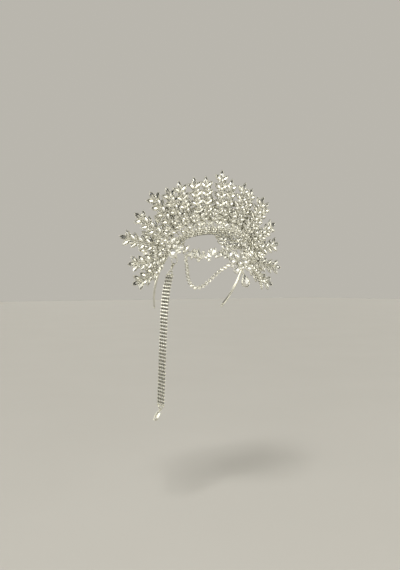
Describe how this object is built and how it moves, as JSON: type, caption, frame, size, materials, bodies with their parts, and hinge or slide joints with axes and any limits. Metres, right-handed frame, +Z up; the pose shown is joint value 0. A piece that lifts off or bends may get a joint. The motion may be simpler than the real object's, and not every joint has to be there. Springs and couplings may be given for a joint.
{
  "type": "bridal crown",
  "caption": "Silver-coloured bridal crown with a fan of crystal leaf sprays on a thin headband, a forehead garland, two chain swags, a teardrop pendant and a hanging rhinestone strap.",
  "frame": {"origin": "inside of the headband at its top, in the middle plane, where the crown rests on the head", "axes": "+Z up, the front of the crown faces -Y, the wearer's right is -X"},
  "size_m": [0.2932, 0.1349, 0.3616],
  "materials": {
    "silver": "polished silver plate",
    "crystal": "clear cut rhinestone, foiled back",
    "rhinestone_chain": "cup chain of clear rhinestones in silver-coloured cups"
  },
  "bodies": {
    "crown": {"headband": "silver", "spray_centre": "silver", "spray_right_1": "silver", "spray_right_2": "silver", "spray_right_3": "silver", "spray_right_4": "silver", "spray_right_5": "silver", "spray_right_6": "silver", "spray_right_7": "silver", "spray_right_8": "silver", "spray_right_9": "silver", "spray_left_1": "silver", "spray_left_2": "silver", "spray_left_3": "silver", "spray_left_4": "silver", "spray_left_5": "silver", "spray_left_6": "silver", "spray_left_7": "silver", "spray_left_8": "silver", "spray_left_9": "silver", "fan_stones_right": "crystal", "fan_stones_left": "crystal", "crest": "silver", "crest_stones": "crystal", "garland_right": "silver", "garland_left": "silver", "garland_stones_right": "crystal", "garland_stones_left": "crystal", "temple_right": "silver", "temple_left": "silver", "temple_stones_right": "crystal", "temple_stones_left": "crystal", "flower": "silver", "flower_stones": "crystal", "swag_right": "rhinestone_chain", "swag_left": "rhinestone_chain", "ring_right": "silver", "ring_left": "silver", "strap": "rhinestone_chain", "clasp_upper": "silver", "jump_ring_upper": "silver", "clasp_lower": "silver", "jump_ring_lower": "silver"},
    "pendant": {"pendant_setting": "silver", "pendant_stone": "crystal", "pendant_ring": "silver"},
    "lever_upper": {"clasp_lever_upper": "silver"},
    "lever_lower": {"clasp_lever_lower": "silver"}
  },
  "joints": [
    {"name": "pendant_swing", "type": "hinge", "parent": "crown", "child": "pendant", "pos_m": [0.0036, -0.0576, -0.0555], "axis": [-1, 0, 0], "range_deg": [-20, 50]},
    {"name": "lever_upper_hinge", "type": "hinge", "parent": "crown", "child": "lever_upper", "pos_m": [-0.06863, 0.01361, -0.04971], "axis": [0.9527, 0, -0.304], "range_deg": [0, 12], "stiffness_Nm_per_rad": 0.0004},
    {"name": "lever_lower_hinge", "type": "hinge", "parent": "crown", "child": "lever_lower", "pos_m": [-0.08638, 0.02537, -0.26142], "axis": [-0.8645, 0, 0.5026], "range_deg": [0, 18], "stiffness_Nm_per_rad": 0.0004}
  ]
}
